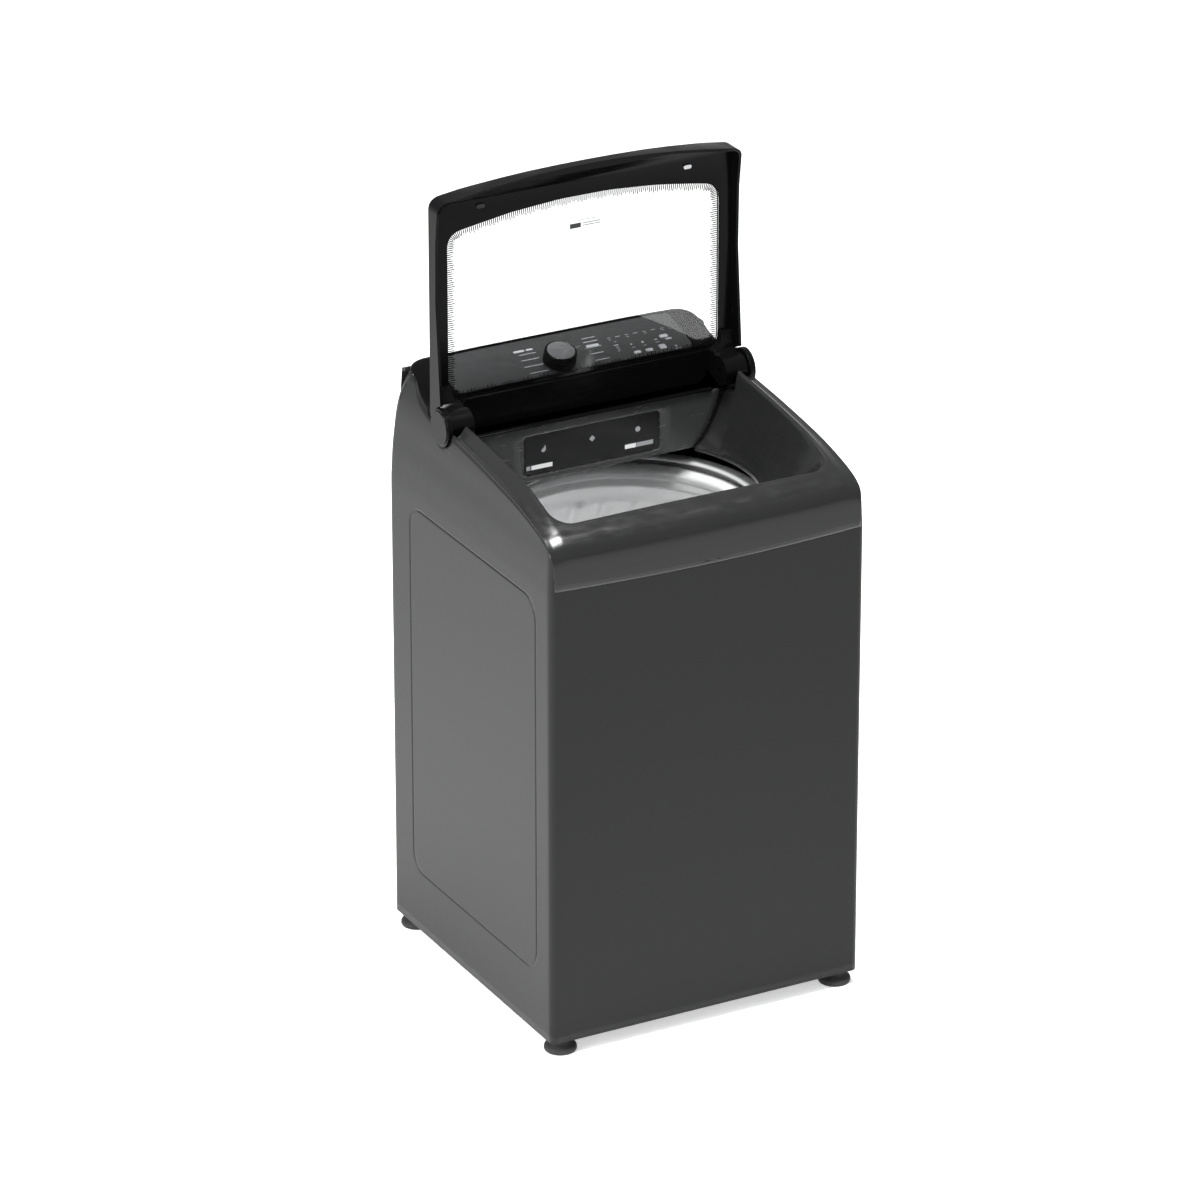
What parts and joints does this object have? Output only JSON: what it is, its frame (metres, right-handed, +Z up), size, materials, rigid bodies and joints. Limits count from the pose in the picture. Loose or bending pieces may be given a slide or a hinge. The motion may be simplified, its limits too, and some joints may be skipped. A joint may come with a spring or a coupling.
{
  "type": "top load washing machine",
  "caption": "Top load washing machine with a glass lid, slanted control console, detergent drawer and a basket and impeller in a hung tub.",
  "frame": {"origin": "on the floor, under the centre of the cabinet", "axes": "+Z up, -Y towards the user at the front, +X to the user's right"},
  "size_m": [0.622, 0.634, 1.4877],
  "materials": {
    "steel_grey": "satin",
    "cover_grey": "gloss",
    "black_gloss": "gloss",
    "console_black": "satin",
    "key_grey": "satin",
    "light_plastic": "satin",
    "tub_plastic": "matte",
    "stainless": "brushed",
    "zinc": "satin",
    "cast_metal": "matte",
    "black_rubber": "matte",
    "motor_black": "satin",
    "board_green": "satin",
    "lid_glass": "gloss"
  },
  "bodies": {
    "cabinet": {"cabinet_wrap": "steel_grey", "rear_panel": "steel_grey", "base_frame": "zinc", "foot_front_left": "black_rubber", "foot_front_right": "black_rubber", "foot_rear_left": "black_rubber", "foot_rear_right": "black_rubber", "top_cover": "cover_grey", "hinge_trough": "black_gloss", "console_housing": "black_gloss", "console_face": "console_black", "control_board": "board_green", "hinge_cap_left": "black_gloss", "hinge_cap_right": "black_gloss", "hinge_pin_left": "zinc", "hinge_pin_right": "zinc", "dispenser_housing": "light_plastic", "inlet_valve": "light_plastic", "drain_elbow": "light_plastic", "cord_gland": "black_rubber", "lid_lock": "light_plastic", "level_switch": "light_plastic", "hanger_rod_front_left": "zinc", "hanger_rod_front_right": "zinc", "hanger_rod_rear_left": "zinc", "hanger_rod_rear_right": "zinc", "hanger_spring_front_left": "zinc", "hanger_spring_front_right": "zinc", "hanger_spring_rear_left": "zinc", "hanger_spring_rear_right": "zinc"},
    "lid": {"lid_frame": "black_gloss", "lid_glass": "lid_glass", "lid_bumper": "black_rubber", "lid_strike": "zinc"},
    "knob": {"cycle_knob": "console_black"},
    "start_button": {"start_key": "key_grey"},
    "power_button": {"power_key": "key_grey"},
    "level_button": {"level_key": "key_grey"},
    "rinse_button": {"rinse_key": "key_grey"},
    "drawer": {"detergent_drawer": "cover_grey"},
    "tub": {"outer_tub": "tub_plastic", "tub_cover": "light_plastic", "gearcase": "cast_metal", "motor_plate": "zinc", "drive_motor": "motor_black", "main_bearing": "stainless", "shaft_seal": "black_rubber", "drain_pump": "motor_black", "drain_hose": "black_rubber", "drive_belt": "black_rubber"},
    "basket": {"basket": "stainless", "balance_ring": "light_plastic", "basket_hub": "cast_metal"},
    "impeller": {"impeller": "light_plastic", "impeller_bolt": "stainless", "drive_shaft": "cast_metal", "drive_pulley": "cast_metal"},
    "motor_rotor": {"motor_shaft": "zinc", "motor_pulley": "cast_metal"}
  },
  "joints": [
    {"name": "lid_hinge", "type": "hinge", "parent": "cabinet", "child": "lid", "pos_m": [0, 0.112, 1.049], "axis": [1, 0, 0], "range_deg": [0, 101]},
    {"name": "knob_turn", "type": "hinge", "parent": "cabinet", "child": "knob", "pos_m": [-0.022, 0.206, 1.08604], "axis": [0, -0.3007, 0.9537], "continuous": true},
    {"name": "drawer_slide", "type": "slide", "parent": "cabinet", "child": "drawer", "axis": [0, -1, 0], "range_m": [0, 0.125]},
    {"name": "tub_suspension", "type": "slide", "parent": "cabinet", "child": "tub", "axis": [0, 0, 1], "range_m": [-0.025, 0], "stiffness_N_per_m": 16000, "springref_m": 0.04, "deforming": ["hanger_spring_front_left", "hanger_spring_front_right", "hanger_spring_rear_left", "hanger_spring_rear_right"]},
    {"name": "basket_spin", "type": "hinge", "parent": "tub", "child": "basket", "pos_m": [0, 0, 0.5], "axis": [0, 0, 1], "continuous": true},
    {"name": "impeller_spin", "type": "hinge", "parent": "tub", "child": "impeller", "pos_m": [0, 0, 0.4], "axis": [0, 0, 1], "continuous": true},
    {"name": "motor_spin", "type": "hinge", "parent": "tub", "child": "motor_rotor", "pos_m": [0, -0.165, 0.21], "axis": [0, 0, 1], "continuous": true},
    {"name": "start_press", "type": "slide", "parent": "cabinet", "child": "start_button", "axis": [0, 0.3007, -0.9537], "range_m": [0, 0.0012], "stiffness_N_per_m": 400, "springref_m": -0.001},
    {"name": "power_press", "type": "slide", "parent": "cabinet", "child": "power_button", "axis": [0, 0.3007, -0.9537], "range_m": [0, 0.0012], "stiffness_N_per_m": 400, "springref_m": -0.001},
    {"name": "level_press", "type": "slide", "parent": "cabinet", "child": "level_button", "axis": [0, 0.3007, -0.9537], "range_m": [0, 0.0012], "stiffness_N_per_m": 400, "springref_m": -0.001},
    {"name": "rinse_press", "type": "slide", "parent": "cabinet", "child": "rinse_button", "axis": [0, 0.3007, -0.9537], "range_m": [0, 0.0012], "stiffness_N_per_m": 400, "springref_m": -0.001}
  ],
  "couplings": [
    {"joint": "motor_spin", "follows": "impeller_spin", "ratio": 3.25}
  ]
}
